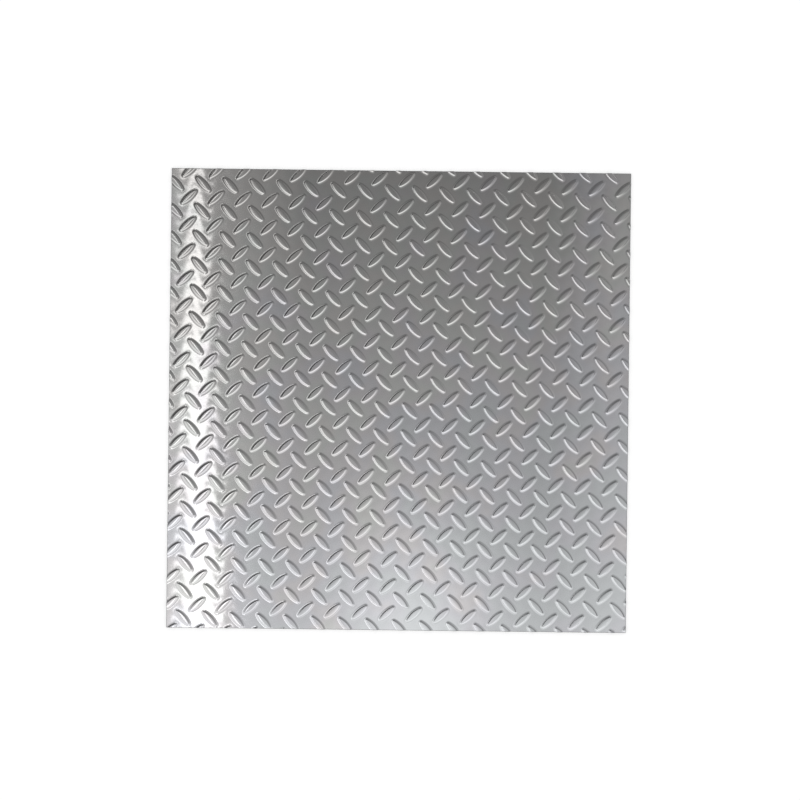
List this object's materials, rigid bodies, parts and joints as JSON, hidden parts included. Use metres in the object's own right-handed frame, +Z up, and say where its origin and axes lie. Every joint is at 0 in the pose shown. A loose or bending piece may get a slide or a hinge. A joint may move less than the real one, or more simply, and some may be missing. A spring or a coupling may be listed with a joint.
{
  "type": "steel tread plate",
  "caption": "Square of steel tread plate: flat rolled sheet with raised lens-shaped anti-slip lugs lying two ways on its upper face.",
  "frame": {"origin": "middle of the flat underside", "axes": "+Z up through the plate, towards the lugs; X and Y along the plate's cut edges"},
  "size_m": [0.61, 0.61, 0.0045],
  "materials": {
    "bright_steel": "bright mill-rolled steel, satin, unrusted"
  },
  "bodies": {
    "root": {"tread_plate": "bright_steel"}
  },
  "joints": []
}
